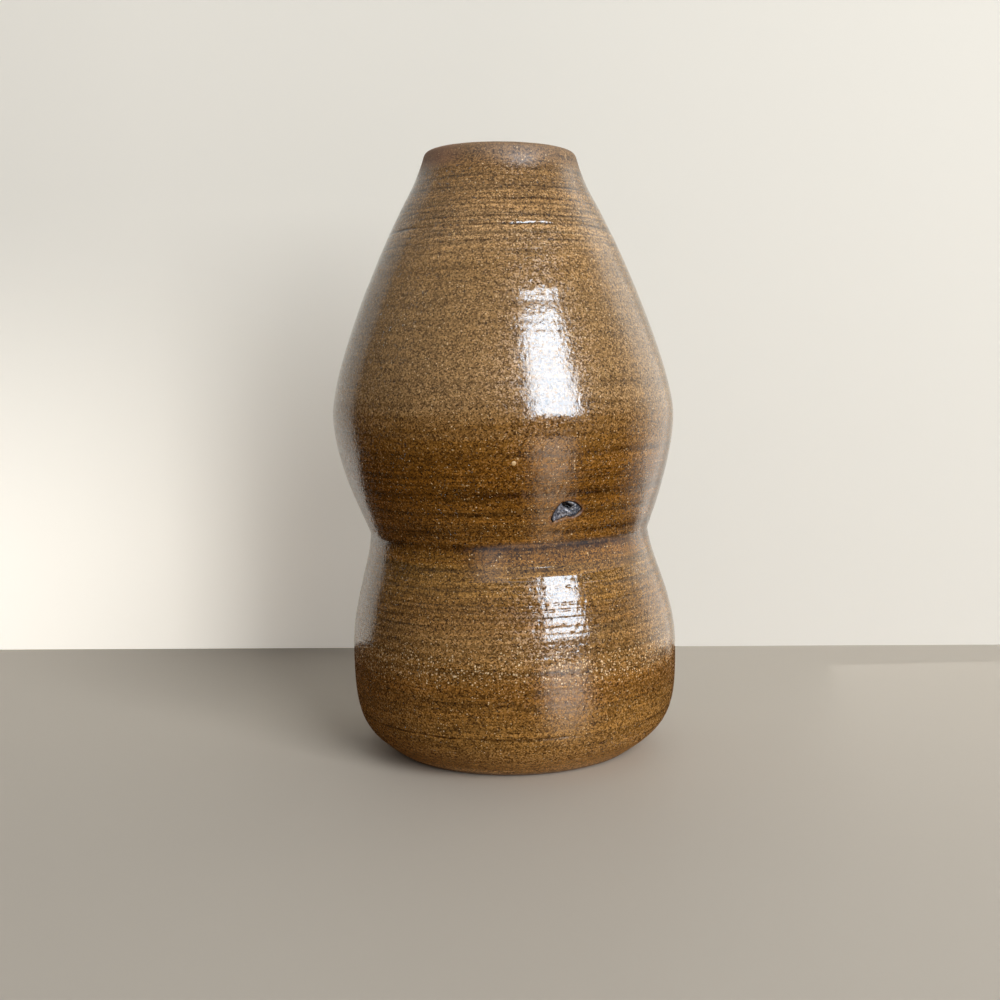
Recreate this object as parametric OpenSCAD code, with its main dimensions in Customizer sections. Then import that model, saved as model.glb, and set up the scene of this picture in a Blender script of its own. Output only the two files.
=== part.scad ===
// Wheel-thrown stoneware vase: a low swell, a drawn-in waist, a full belly and a small mouth.
// The foot stands on z = 0 and the axis of turning is +Z.

/* [Form] */
// Outer diameter at the table
foot_d = 80.2; // [64:0.2:96]
// Widest outer diameter of the lower swell
swell_d = 110.4; // [98:0.2:130]
// Height of the lower swell's widest ring
swell_h = 34.2; // [28:0.2:50]
// Outer diameter of the waist
waist_d = 94.4; // [80:0.2:106]
// Rise from the lower swell to the waist
waist_rise = 40.3; // [30:0.1:60]
// Widest outer diameter of the belly
belly_d = 114.6; // [100:0.2:140]
// Rise from the waist to the belly's widest ring
belly_rise = 39; // [30:0.5:60]
// Outer diameter of the neck, where the shoulder turns up into the collar
neck_d = 62; // [54:0.5:76]
// Rise from the belly to the neck
shoulder_rise = 71.5; // [55:0.5:100]
// Outer diameter of the lip
lip_d = 50.6; // [44:0.2:60]
// Height of the collar, from the neck to the top of the lip
collar_h = 15; // [11:0.5:26]

/* [Lean of the wall] */
// Outward lean of the turned chamfer above the foot, in degrees from upright
foot_flare = 55; // [40:1:62]
// Outward lean of the wall just above the waist, in degrees
waist_flare = 7; // [0:1:20]
// Inward lean of the shoulder at the neck, in degrees
neck_lean = 29.4; // [15:0.2:38]
// Inward lean of the wall at the lip, in degrees
lip_lean = 19; // [5:1:30]

/* [Wall] */
// Whole thickness of the wall from the foot to the belly, both coats of glaze included
wall_t = 6; // [4.5:0.1:8]
// Whole thickness of the rounded lip, both coats of glaze included
lip_t = 4.2; // [3.4:0.1:6.5]
// Height of the inside floor above the table
floor_t = 9; // [8:0.5:14]
// Height of the rounded corner between the inside floor and the wall
floor_corner_h = 12; // [8:0.5:16]

/* [Foot] */
// Width of the ring that touches the table
foot_ring_w = 8; // [5:0.5:14]
// Depth of the turned hollow inside the foot ring
foot_hollow_h = 2.5; // [1:0.1:4]
// Lean of the hollow's side, in degrees from upright
foot_hollow_lean = 50; // [20:1:65]
// Sponged bevel on both edges of the foot ring
foot_bevel = 0.5; // [0.2:0.1:0.8]

/* [Glaze] */
// Thickness of the coat outside
glaze_t = 0.5; // [0.3:0.1:0.9]
// Thickness of the coat inside
liner_t = 0.5; // [0.3:0.1:0.9]
// Height of the wiped glaze line above the table
glaze_line_h = 1.3; // [1:0.1:4]
// Rise over which the coat thickens from nothing above the glaze line
glaze_run_h = 3; // [2:0.5:8]

/* [Turned lines] */
// Height of the line where the turned chamfer ends
turning_line_h = 15.4; // [10:0.2:22]
// Width of the tool's point that scratched the lines
line_w = 0.7; // [0.4:0.1:1.2]
// Depth of each line
line_depth = 0.16; // [0.05:0.01:0.25]

/* [Iron slag in its pit] */
// Width of the pit
pit_w = 10; // [6:0.5:14]
// Height of the pit from its flat lower edge
pit_h = 6; // [4:0.5:12]
// Depth of the pit's floor below the glaze
pit_depth = 2.2; // [1.4:0.1:3]
// Rise of the pit's widest line above the waist
pit_rise = 8.8; // [8:0.1:14]
// Place of the pit round the vase, in degrees from the right-hand side
pit_angle = -69.5; // [-180:0.5:180]
// How far the slag's skin lies below the glaze
slag_sink = 0.3; // [0.1:0.1:0.6]
// Diameter of the blowhole in the slag
blowhole_d = 1.8; // [1:0.1:2.4]
// Depth of the blowhole below the glaze
blowhole_depth = 1.6; // [1:0.1:1.8]

/* [Pale grains] */
// Diameter of the largest grain
grain_d = 2.2; // [1.2:0.1:3]
// How far a grain stands proud of the glaze
grain_proud = 0.12; // [0.05:0.01:0.3]

/* [Hidden] */
$fn = 96;

// Reach of every cutter past what it cuts
overrun = 1;

// Lengths of the curve's handles, as shares of the rise between the rings that they join
foot_handle_shares = [0.25, 0.68];
waist_handle_shares = [0.44, 0.22];
belly_handle_shares = [0.05, 0.42];
shoulder_handle_shares = [0.2, 0.25];
collar_handle_shares = [0.5, 0.15];
corner_handle_share = 0.6;

// Straight steps that stand for each stretch of curve, and for the lip's round
foot_steps = 9;
waist_steps = 8;
belly_steps = 8;
shoulder_steps = 11;
collar_steps = 5;
corner_steps = 8;
lip_steps = 5;

// Heights of the lines scratched below the lip, as shares of the rise from belly to lip
neck_line_shares = [0.632, 0.692, 0.731, 0.746, 0.771, 0.791, 0.832];

// Each grain: height as a share of the vase's height, degrees round it, diameter as a share
grain_shares = [
    [0.070, -63.5, 0.80], [0.503, -87.5, 0.90], [0.612, -116.5, 0.70], [0.236, -89.5, 0.65],
    [0.381, -150.5, 0.70], [0.851, -111.5, 0.60], [0.801, -75.5, 0.65], [0.716, -54.0, 0.70],
    [0.266, -97.5, 0.60], [0.193, -79.0, 0.70], [0.165, 10.0, 0.80], [0.560, 34.0, 1.00],
    [0.330, 71.0, 0.65], [0.690, 96.0, 0.80], [0.120, 118.0, 0.90], [0.470, 139.0, 0.70],
    [0.780, 163.0, 0.65], [0.240, 192.0, 0.80]
];

waist_h = swell_h + waist_rise;
belly_h = waist_h + belly_rise;
neck_h = belly_h + shoulder_rise;
vase_h = neck_h + collar_h;
lip_r = lip_t / 2;
lip_centre_h = vase_h - lip_r;
// The wall ends where the lip's round begins, on the round's own slanting radius
wall_end_h = lip_centre_h + lip_r * sin(lip_lean);
pit_mid_h = waist_h + pit_rise;
foot_ring_r = foot_d / 2 - foot_ring_w;

// Points of a cubic curve, each with the unit normal that faces away from the axis
function curve_point(p, t) = let (s = 1 - t)
    s * s * s * p[0] + 3 * s * s * t * p[1] + 3 * s * t * t * p[2] + t * t * t * p[3];
function curve_way(p, t) = let (s = 1 - t)
    s * s * (p[1] - p[0]) + 2 * s * t * (p[2] - p[1]) + t * t * (p[3] - p[2]);
function normal_of(way) = [way.y, -way.x] / norm(way);
function curve(p, steps, last = false) = [
    for (i = [0 : last ? steps : steps - 1])
        [curve_point(p, i / steps), normal_of(curve_way(p, i / steps))]
];
// A handle that rises by rise and leans outwards by lean degrees
function handle(rise, lean) = rise * [tan(lean), 1];

foot_at = [foot_d / 2, 0];
swell_at = [swell_d / 2, swell_h];
waist_at = [waist_d / 2, waist_h];
belly_at = [belly_d / 2, belly_h];
neck_at = [neck_d / 2, neck_h];
lip_at = [lip_d / 2, wall_end_h];

// The outside of the finished vase from the table to the lip's round
outline = concat(
    curve([
        foot_at,
        foot_at + handle(foot_handle_shares[0] * swell_h, foot_flare),
        swell_at - handle(foot_handle_shares[1] * swell_h, 0),
        swell_at
    ], foot_steps),
    curve([
        swell_at,
        swell_at + handle(waist_handle_shares[0] * waist_rise, 0),
        waist_at - handle(waist_handle_shares[1] * waist_rise, 0),
        waist_at
    ], waist_steps),
    curve([
        waist_at,
        waist_at + handle(belly_handle_shares[0] * belly_rise, waist_flare),
        belly_at - handle(belly_handle_shares[1] * belly_rise, 0),
        belly_at
    ], belly_steps),
    curve([
        belly_at,
        belly_at + handle(shoulder_handle_shares[0] * shoulder_rise, 0),
        neck_at - handle(shoulder_handle_shares[1] * shoulder_rise, -neck_lean),
        neck_at
    ], shoulder_steps),
    curve([
        neck_at,
        neck_at + handle(collar_handle_shares[0] * (wall_end_h - neck_h), -neck_lean),
        lip_at - handle(collar_handle_shares[1] * (wall_end_h - neck_h), -lip_lean),
        lip_at
    ], collar_steps, last = true)
);

function radius_at(h) = lookup(h, [for (p = outline) [p[0].y, p[0].x]]);
function lean_at(h) = lookup(h, [for (p = outline) [p[0].y, -asin(p[1].y)]]);
// How far a height lies on the way from one height to another, kept between 0 and 1
function way_up(h, from, to) = min(1, max(0, (h - from) / (to - from)));
function coat_at(h) = glaze_t * way_up(h, glaze_line_h, glaze_line_h + glaze_run_h);
function wall_at(h) = wall_t + (lip_t - wall_t) * way_up(h, belly_h, wall_end_h);

// The outside, moved inwards by depth, from the glaze line up
function skin(depth) = [
    for (p = outline) if (p[0].y > glaze_line_h) p[0] - depth * p[1]
];
// The clay under the outer coat, from the glaze line up
clay_skin = [
    for (p = outline) if (p[0].y > glaze_line_h) p[0] - coat_at(p[0].y) * p[1]
];
glaze_line_at = [radius_at(glaze_line_h), glaze_line_h];
bevel_at = [radius_at(foot_bevel), foot_bevel];

// A quarter of the lip's round: rising outside it, or falling inside it
lip_centre = lip_at - lip_r * [cos(lip_lean), sin(lip_lean)];
function lip_round(r, from, to) = [
    for (i = [0 : lip_steps])
        let (a = from + (to - from) * i / lip_steps) lip_centre + r * [cos(a), sin(a)]
];
function lip_outside(coat) = lip_round(lip_r - coat, lip_lean, 90);
function lip_inside(coat) = lip_round(lip_r - coat, 90, 180 + lip_lean);

// The inside from the lip down to the middle of the floor, as far behind its surface as coat
function inside_wall(coat) = [
    for (i = [len(outline) - 2 : -1 : 0])
        let (p = outline[i], q = p[0] - (wall_at(p[0].y) - coat) * p[1])
            if (q.y > floor_t + floor_corner_h) q
];
function inside(coat) = let (
        wall = inside_wall(coat),
        start = wall[len(wall) - 1],
        before = wall[len(wall) - 2],
        drop = start.y - floor_t + coat,
        corner = [start.x, floor_t - coat],
        floor_edge = corner - [drop, 0]
    )
    concat(
        wall,
        [for (i = [1 : corner_steps]) curve_point([
            start,
            start + corner_handle_share * drop * (start - before) / (before.y - start.y),
            corner - (1 - corner_handle_share) * [drop, 0],
            floor_edge
        ], i / corner_steps)],
        [[0, floor_t - coat]]
    );

function reversed(v) = [for (i = [len(v) - 1 : -1 : 0]) v[i]];

// Places what is drawn along +Z square to the outside at a height and an angle
module on_surface(h, angle) {
    rotate([0, 0, angle])
        translate([radius_at(h), 0, h])
            rotate([0, 90 + lean_at(h), 0])
                children();
}

// The solid inside a skin that lies depth below the finished surface
module filled_to(depth) {
    rim = skin(depth);
    rotate_extrude()
        polygon(concat([[0, rim[0].y]], rim, [[0, rim[len(rim) - 1].y]]));
}

// The pit's outline: a round with its lower side flat
module pit_outline() {
    intersection() {
        circle(d = pit_w);
        translate([pit_w / 2 - pit_h, -pit_w / 2])
            square([pit_h, pit_w]);
    }
}

module pit_space() {
    on_surface(pit_mid_h, pit_angle)
        rotate([0, 0, 180])
            translate([0, 0, -pit_depth])
                linear_extrude(pit_depth + overrun)
                    pit_outline();
}

module rounded_grain(d) {
    translate([0, 0, -d / 4])
        sphere(d = d, $fn = 24);
}

module grain_spaces() {
    for (g = grain_shares)
        on_surface(g[0] * vase_h, g[1])
            rounded_grain(grain_d * g[2]);
}

module scratched_line(h) {
    rotate_extrude()
        translate([radius_at(h) + line_w / 2 - line_depth, h])
            circle(d = line_w, $fn = 24);
}

module clay_body() {
    color([0.60, 0.47, 0.34])
        difference() {
            rotate_extrude()
                polygon(concat(
                    [
                        [0, foot_hollow_h],
                        [
                            foot_ring_r - (foot_hollow_h - foot_bevel) * tan(foot_hollow_lean),
                            foot_hollow_h
                        ],
                        [foot_ring_r, foot_bevel],
                        [foot_ring_r + foot_bevel, 0],
                        [foot_d / 2 - foot_bevel, 0],
                        bevel_at,
                        glaze_line_at
                    ],
                    clay_skin,
                    lip_outside(glaze_t),
                    lip_inside(liner_t),
                    inside(liner_t)
                ));
            pit_space();
            grain_spaces();
        }
}

module outer_glaze() {
    color([0.49, 0.35, 0.20])
        difference() {
            rotate_extrude()
                polygon(concat(
                    [glaze_line_at],
                    skin(0),
                    lip_outside(0),
                    reversed(lip_outside(glaze_t)),
                    reversed(clay_skin)
                ));
            pit_space();
            grain_spaces();
            scratched_line(turning_line_h);
            for (s = neck_line_shares)
                scratched_line(belly_h + s * (vase_h - belly_h));
        }
}

module liner_glaze() {
    color([0.43, 0.32, 0.20])
        rotate_extrude()
            polygon(concat(
                lip_inside(0),
                inside(0),
                reversed(inside(liner_t)),
                reversed(lip_inside(liner_t))
            ));
}

module iron_slag() {
    color([0.17, 0.18, 0.21])
        difference() {
            intersection() {
                pit_space();
                filled_to(slag_sink);
            }
            on_surface(pit_mid_h, pit_angle)
                translate([-pit_w / 2 + blowhole_d, 0, -blowhole_depth])
                    cylinder(d = blowhole_d, h = blowhole_depth + overrun);
        }
}

module pale_grains() {
    color([0.86, 0.74, 0.60])
        for (g = grain_shares)
            let (d = grain_d * g[2])
                on_surface(g[0] * vase_h, g[1])
                    intersection() {
                        rounded_grain(d);
                        translate([0, 0, -d])
                            cylinder(d = d + 2 * overrun, h = d + grain_proud);
                    }
}

clay_body();
outer_glaze();
liner_glaze();
iron_slag();
pale_grains();
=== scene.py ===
import math

import bmesh
import bpy
from mathutils import Matrix, Vector, noise
from mathutils.bvhtree import BVHTree


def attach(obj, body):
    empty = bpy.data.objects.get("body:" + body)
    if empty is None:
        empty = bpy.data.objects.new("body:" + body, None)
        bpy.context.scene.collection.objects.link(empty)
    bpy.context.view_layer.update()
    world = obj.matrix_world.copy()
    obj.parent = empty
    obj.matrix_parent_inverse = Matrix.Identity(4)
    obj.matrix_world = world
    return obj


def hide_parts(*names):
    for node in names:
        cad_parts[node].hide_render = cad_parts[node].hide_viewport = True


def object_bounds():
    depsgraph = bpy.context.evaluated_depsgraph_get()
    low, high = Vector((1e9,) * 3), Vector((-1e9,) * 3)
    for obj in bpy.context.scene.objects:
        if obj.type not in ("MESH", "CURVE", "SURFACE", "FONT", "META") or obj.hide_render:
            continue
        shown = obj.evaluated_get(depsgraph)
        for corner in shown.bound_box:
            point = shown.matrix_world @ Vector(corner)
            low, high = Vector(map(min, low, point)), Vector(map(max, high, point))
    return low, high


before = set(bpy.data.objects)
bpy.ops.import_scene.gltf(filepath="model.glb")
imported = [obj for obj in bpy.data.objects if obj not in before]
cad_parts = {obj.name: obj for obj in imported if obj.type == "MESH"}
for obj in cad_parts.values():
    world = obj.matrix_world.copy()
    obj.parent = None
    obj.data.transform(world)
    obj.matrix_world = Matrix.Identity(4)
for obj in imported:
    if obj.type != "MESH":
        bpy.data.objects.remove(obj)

# A wheel-thrown stoneware vase under a glossy speckled brown glaze, dressed over its CAD solids.
# Forms are written in millimetres and degrees, and mm turns lengths into metres.
mm = 0.001
cadLow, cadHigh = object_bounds()
scene = bpy.context.scene
print("frame loaded:", ", ".join(sorted(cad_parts)))


# Small helpers for node trees

def operator(operation, swapped=False):
    return lambda self, other: calc(operation, *((other, self) if swapped else (self, other)))


class Wire:
    # A node's first output. Its other outputs are wire["Name"], and sums, products and powers of
    # wires add Math nodes to their tree
    def __init__(self, socket):
        self.socket, self.node, self.tree = socket, socket.node, socket.id_data

    def __getitem__(self, name):
        return Wire(self.node.outputs[name])

    def __abs__(self):
        return calc("ABSOLUTE", self)

    __add__, __radd__ = operator("ADD"), operator("ADD", swapped=True)
    __sub__, __rsub__ = operator("SUBTRACT"), operator("SUBTRACT", swapped=True)
    __truediv__, __rtruediv__ = operator("DIVIDE"), operator("DIVIDE", swapped=True)
    __mul__, __pow__ = operator("MULTIPLY"), operator("POWER")
    __lt__, __gt__ = operator("LESS_THAN"), operator("GREATER_THAN")


def plug(sockets, values):
    # Gives each named socket a wire or a constant. A colour needs only three numbers
    for name, value in values.items():
        socket = sockets[name]
        if isinstance(value, Wire):
            socket.id_data.links.new(value.socket, socket)
        elif value is not None:
            socket.default_value = (*value, 1) if socket.type == "RGBA" else value


def addNode(tree, kind, inputs=None, **settings):
    node = tree.nodes.new(kind)
    for name, value in settings.items():
        setattr(node, name, value)
    plug(node.inputs, inputs or {})
    return Wire(node.outputs[0])


def grow(kind, inputs, **settings):
    # A node in the tree that its inputs come from
    tree = next(value.tree for value in inputs.values() if isinstance(value, Wire))
    return addNode(tree, kind, inputs, **settings)


def calc(operation, *values, clamp=False):
    return grow("ShaderNodeMath", dict(enumerate(values)), operation=operation, use_clamp=clamp)


def vectorCalc(operation, *values):
    return grow("ShaderNodeVectorMath", dict(enumerate(values)), operation=operation)


def scaled(vector, by):
    return grow("ShaderNodeVectorMath", {0: vector, "Scale": by}, operation="SCALE")


def parts(vector):
    return grow("ShaderNodeSeparateXYZ", {0: vector})


def triple(x, y, z=0.0):
    return grow("ShaderNodeCombineXYZ", {0: x, 1: y, 2: z})


def spread(value, fromLow, fromHigh, toLow=0.0, toHigh=1.0, smooth=False):
    return grow("ShaderNodeMapRange", {
        "Value": value, "From Min": fromLow, "From Max": fromHigh, "To Min": toLow, "To Max": toHigh,
    }, interpolation_type="SMOOTHSTEP" if smooth else "LINEAR")


def between(share, low, high):
    return spread(share, 0, 1, low, high)


def cloud(place, scale, detail, roughness=0.5):
    return grow("ShaderNodeTexNoise", {
        "Vector": place, "Scale": scale, "Detail": detail, "Roughness": roughness})


def blendValues(share, first, second):
    return grow("ShaderNodeMix", {0: share, 2: first, 3: second}, data_type="FLOAT")


def blendColors(share, first, second, mode="MIX"):
    return grow("ShaderNodeMix", {0: share, 6: first, 7: second}, data_type="RGBA", blend_type=mode)[2]


def tinted(color, tint):
    return blendColors(1.0, color, tint, "MULTIPLY")


def layered(color, *coats):
    # Coats of colour, one over the other, each with its share
    for share, paint in coats:
        color = blendColors(share, color, paint)
    return color


def ramp(value, stops):
    # Stops are colours, or plain numbers for greys
    wire = grow("ShaderNodeValToRGB", {"Fac": value})
    elements = wire.node.color_ramp.elements
    while len(elements) < len(stops):
        elements.new(1.0)
    for element, (place, color) in zip(elements, stops):
        element.position = place
        element.color = (*(color if isinstance(color, tuple) else (color,) * 3), 1.0)
    return wire


def newGroup(name, kind, inputs, outputs):
    # Inputs are given by their kind of socket, or by the number that they start from
    tree = bpy.data.node_groups.new(name, kind)
    for label, value in inputs.items():
        kind = {int: "Int", float: "Float"}.get(type(value), value)
        socket = tree.interface.new_socket(label, in_out="INPUT", socket_type=f"NodeSocket{kind}")
        if kind != value:
            socket.default_value = value
    for label, kind in outputs.items():
        tree.interface.new_socket(label, in_out="OUTPUT", socket_type=f"NodeSocket{kind}")
    return tree, addNode(tree, "NodeGroupInput")


def endGroup(tree, results):
    plug(tree.nodes.new("NodeGroupOutput").inputs, results)
    return tree


def endPiece(tree, made, material):
    made = grow("GeometryNodeSetShadeSmooth", {"Geometry": made})
    made = grow("GeometryNodeRealizeInstances", {"Geometry": made})
    made = grow("GeometryNodeSetMaterial", {"Geometry": made, "Material": material})
    return endGroup(tree, {"Geometry": made})


def named(tree, name, kind="FLOAT"):
    return addNode(tree, "GeometryNodeInputNamedAttribute", {"Name": name}, data_type=kind)


# Small helpers for objects and meshes

def newObject(name, data):
    made = bpy.data.objects.new(name, data)
    scene.collection.objects.link(made)
    return made


def newMesh(name, points, edges=(), faces=()):
    mesh = bpy.data.meshes.new(name)
    mesh.from_pydata(points, edges, faces)
    return mesh


def pointValues(mesh, name, values):
    # An attribute of the points: numbers, or vectors where each value is one
    if isinstance(values[0], Vector):
        layer = mesh.attributes.new(name, "FLOAT_VECTOR", "POINT")
        layer.data.foreach_set("vector", [number for value in values for number in value])
    else:
        mesh.attributes.new(name, "FLOAT", "POINT").data.foreach_set("value", values)


# The form of the vase: rings and leans of its outline, as in the CAD, from the floor up

vaseForm = {
    "footRadius": 40.1, "footFlare": 55.0,
    "swellRadius": 55.2, "swellHeight": 34.2,
    "waistRadius": 47.2, "waistHeight": 74.5, "waistFlare": 7.0,
    "bellyRadius": cadHigh.x / mm, "bellyHeight": 113.5,
    "neckRadius": 31.0, "neckHeight": 185.0, "neckLean": 29.4,
    "lipRadius": 25.3, "lipLean": 19.0, "height": cadHigh.z / mm,
    "wall": 6.0, "lip": 4.2, "floor": 9.0, "floorCorner": 12.0,
    "footRing": 8.0, "footHollow": 2.5, "footHollowLean": 50.0, "footBevel": 0.5,
    "glaze": 0.5, "liner": 0.5, "glazeLine": 1.3, "glazeRun": 3.0,
    # Lengths of the curve's handles, as shares of each rise
    "handles": {
        "foot": (0.25, 0.68), "waist": (0.44, 0.22), "belly": (0.05, 0.42),
        "shoulder": (0.2, 0.25), "collar": (0.5, 0.15), "corner": 0.6,
    },
}

# What the thrower's hands left on that outline
wheelMarks = {
    "finger": {"pitch": 7.1, "depth": 0.06, "from": 24.0, "to": 116.0, "ease": 12.0},
    # Valleys between finger rings: height, depth, half width, and how dark they are drawn: glaze pooled in
    # them, and painted shade in the grooves
    "valleys": (
        (18.3, 0.02, 0.5, 0.3), (20.6, 0.03, 0.6, 0.35), (24.2, 0.03, 0.5, 0.35), (26.6, 0.05, 0.8, 0.45),
        (28.8, 0.02, 0.4, 0.3), (30.6, 0.03, 0.5, 0.3), (36.2, 0.06, 0.8, 0.45), (41.2, 0.03, 0.45, 0.4),
        (42.7, 0.03, 0.4, 0.35), (44.8, 0.04, 0.5, 0.4), (47.6, 0.05, 0.42, 0.4), (49.7, 0.16, 0.36, 0.25),
        (52.5, 0.16, 0.42, 0.55), (54.9, 0.17, 0.4, 0.55), (56.7, 0.16, 0.36, 0.35), (61.7, 0.17, 0.46, 0.6),
        (64.2, 0.08, 0.42, 0.3), (67.2, 0.12, 0.6, 0.5), (71.6, -0.16, 3.0, 0.0), (73.8, 0.2, 1.2, 0.95),
        (78.6, 0.1, 0.9, 0.9), (84.7, 0.06, 0.6, 0.5), (90.8, 0.08, 1.1, 0.95), (96.6, 0.05, 0.7, 0.45),
        (103.4, 0.05, 0.9, 0.45), (109.6, 0.04, 0.8, 0.35), (118.2, 0.05, 0.8, 0.35),
        (124.6, 0.05, 0.9, 0.35), (132.4, 0.05, 0.6, 0.25), (140.4, 0.05, 0.6, 0.2), (143.0, 0.04, 0.8, 0.3),
        (149.0, 0.04, 0.8, 0.3), (153.6, -0.12, 4.0, 0.0), (159.3, 0.02, 0.9, 0.35), (164.7, 0.04, 0.6, 0.3),
        (187.0, 0.01, 0.5, 0.45), (191.8, 0.02, 0.7, 0.55), (196.4, 0.02, 0.6, 0.35),
    ),
    # Scratches of a rib below the lip, and the line where the turned foot ends
    "scratches": (
        (168.1, 0.02, 0.3, 1.0), (170.3, 0.02, 0.28, 0.7), (173.3, 0.16, 0.34, 1.4),
        (175.9, 0.02, 0.28, 0.9), (178.1, 0.02, 0.28, 0.95), (179.7, 0.02, 0.26, 0.75),
        (181.4, 0.02, 0.3, 1.2), (184.5, 0.02, 0.26, 0.75), (185.6, 0.03, 0.3, 1.3), (189.0, 0.01, 0.3, 0.7),
        (15.4, 0.16, 0.34, 0.9),
    ),
    "inside": {"pitch": 9.5, "depth": 0.28, "ink": 0.6},
    "under": {"pitch": 1.6, "depth": 0.05},
    "fadeBelowLip": (189.0, 198.0), "fadeAboveFoot": (1.3, 6.0), "fadeAtMiddle": (1.0, 6.0),
    # Noises that the marks follow: changes per metre round the wall and up it, detail and offset
    "wanders": {
        "slide": (110, 45, 3.0, (3, 1, 8)), "uneven": (38, 60, 2.0, (0, 5, 2)),
        "shaky": (620, 420, 2.0, (1, 6, 3)), "rings": (30, 190, 3.0, (7, 7, 1)),
        "scratches": (34, 420, 3.0, (2, 9, 4)),
    },
    # How strongly each is drawn: from two values of its noise to two shares
    "pulls": {
        "shaky": (-0.18, 0.18, 0.3, 1.5), "rings": (-0.2, 0.2, 0.4, 1.35),
        "scratches": (-0.16, 0.12, 0.25, 1.3),
    },
    # Where the shallow upright swelling below the pit rises and ends
    "swelling": ((38.0, 56.0), (62.0, 76.0)),
    # How the thrown axis wanders sideways, by height
    "axis": ((0.0, 0.85), (35.0, 1.28), (73.0, 0.27), (115.0, -1.02), (150.0, -1.13), (200.0, -0.24)),
    # The pit's ear-shaped outline, as steps to the right and up from its place
    "pit": (
        (-0.2, 3.25), (1.6, 3.1), (3.1, 2.5), (4.5, 1.3), (5.2, 0.3), (4.3, -0.8), (2.9, -1.6),
        (1.5, -1.95), (0.2, -1.7), (-1.4, -2.3), (-2.9, -2.7), (-4.3, -3.1), (-4.9, -2.4), (-4.5, -0.7),
        (-3.6, 0.9), (-2.3, 2.6),
    ),
}

# The wheel's tree takes these by name: lengths, angles and shares
wheelLengths = {
    "Uneven": 0.16,    # how far the wall wanders from a true circle
    "Slide": 0.45,     # how far a ring wanders up and down on its way round
    "Swelling": 0.75,  # how far the swelling stands out
    "Pit Height": 85.0, "Pit Depth": 1.9, "Pit Wall": 0.4, "Brim": 0.03, "Brim Run": 1.0,
    "Height": vaseForm["height"], "Axis Reach": 2.0, "Lip Tip From": 170.0, "Wander Radius": 50.0,
}
wheelAngles = {
    "Pit Angle": -69.5, "Swelling Reach": 23.0,
    "Felt Within": 14.0,  # rings are deepest so near to the pit
}
wheelShares = {
    "Felt Beyond": 0.4,  # what is left of the rings elsewhere
    "Felt Fade": 0.4,    # radians of fading to it
    "Lip Tip": 0.0255,   # how the lip tips down to the right
    "Fine Share": 0.2,   # how closely the columns lie near the pit
}

# Where rows of faces lie closer: near the pit, over the lip's round, and along each mark whose half
# width is below fine, out to so many half widths
closeRows = {"nearPit": 4.6, "belowLip": 1.0, "lip": 0.42, "fine": 0.65, "fineReach": 2.3}


def handle(rise, lean):
    return Vector((rise * math.tan(math.radians(lean)), rise))


def cubic(points, t):
    a, b, c, d = points
    s = 1 - t
    place = a * s ** 3 + b * (3 * s * s * t) + c * (3 * s * t * t) + d * t ** 3
    way = (b - a) * (s * s) + (c - b) * (2 * s * t) + (d - c) * (t * t)
    return place, Vector((way.y, -way.x)).normalized()


def outlineCurves(form):
    foot, swell, waist, belly, neck = (
        Vector((form[f"{ring}Radius"], form.get(f"{ring}Height", 0.0)))
        for ring in ("foot", "swell", "waist", "belly", "neck"))
    round_, lean = form["lip"] / 2, math.radians(form["lipLean"])
    lip = Vector((form["lipRadius"], form["height"] - round_ + round_ * math.sin(lean)))
    curves = []
    for name, start, end, leanIn, leanOut in (
        ("foot", foot, swell, form["footFlare"], 0), ("waist", swell, waist, 0, 0),
        ("belly", waist, belly, form["waistFlare"], 0), ("shoulder", belly, neck, 0, -form["neckLean"]),
        ("collar", neck, lip, -form["neckLean"], -form["lipLean"]),
    ):
        rise, (first, last) = end.y - start.y, form["handles"][name]
        curves.append((start, start + handle(first * rise, leanIn), end - handle(last * rise, leanOut), end))
    return curves, lip - Vector((math.cos(lean), math.sin(lean))) * round_, lean, round_


def wayUp(height, low, high):
    return min(1.0, max(0.0, (height - low) / (high - low)))


def eased(share):
    return share * share * (3 - 2 * share)


def coatAt(height):
    line = vaseForm["glazeLine"]
    return vaseForm["glaze"] * wayUp(height, line, line + vaseForm["glazeRun"])


def wallAt(height):
    wall, lip = vaseForm["wall"], vaseForm["lip"]
    return wall + (lip - wall) * wayUp(height, vaseForm["bellyHeight"], wallEnd)


outline, lipCentre, lipLean, lipRound = outlineCurves(vaseForm)
wallEnd = lipCentre.y + lipRound * math.sin(lipLean)
finePieces = 240  # short steps along each curve, before the rows are picked from them
wallLine = [cubic(c, k / finePieces) for c in outline for k in range(finePieces)]
wallLine.append(cubic(outline[-1], 1.0))


def lipArc(radius, start, end, steps=24):
    angles = [start + (end - start) * k / steps for k in range(steps + 1)]
    return [(lipCentre + Vector((math.cos(a), math.sin(a))) * radius, Vector((math.cos(a), math.sin(a))))
            for a in angles]


def outsideLine(depth, thinned=False):
    # The outside skin from the glaze line to the crest, moved inwards by depth
    line = vaseForm["glazeLine"]
    above = next(k for k, (point, _) in enumerate(wallLine) if point.y > line)
    (low, normal), (high, _) = wallLine[above - 1], wallLine[above]
    moved = [(low.lerp(high, (line - low.y) / (high.y - low.y)), normal)]
    for point, normal in wallLine[above:]:
        moved.append((point - normal * (coatAt(point.y) if thinned else depth), normal))
    return moved + lipArc(lipRound - depth, lipLean, math.pi / 2)[1:]


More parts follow.
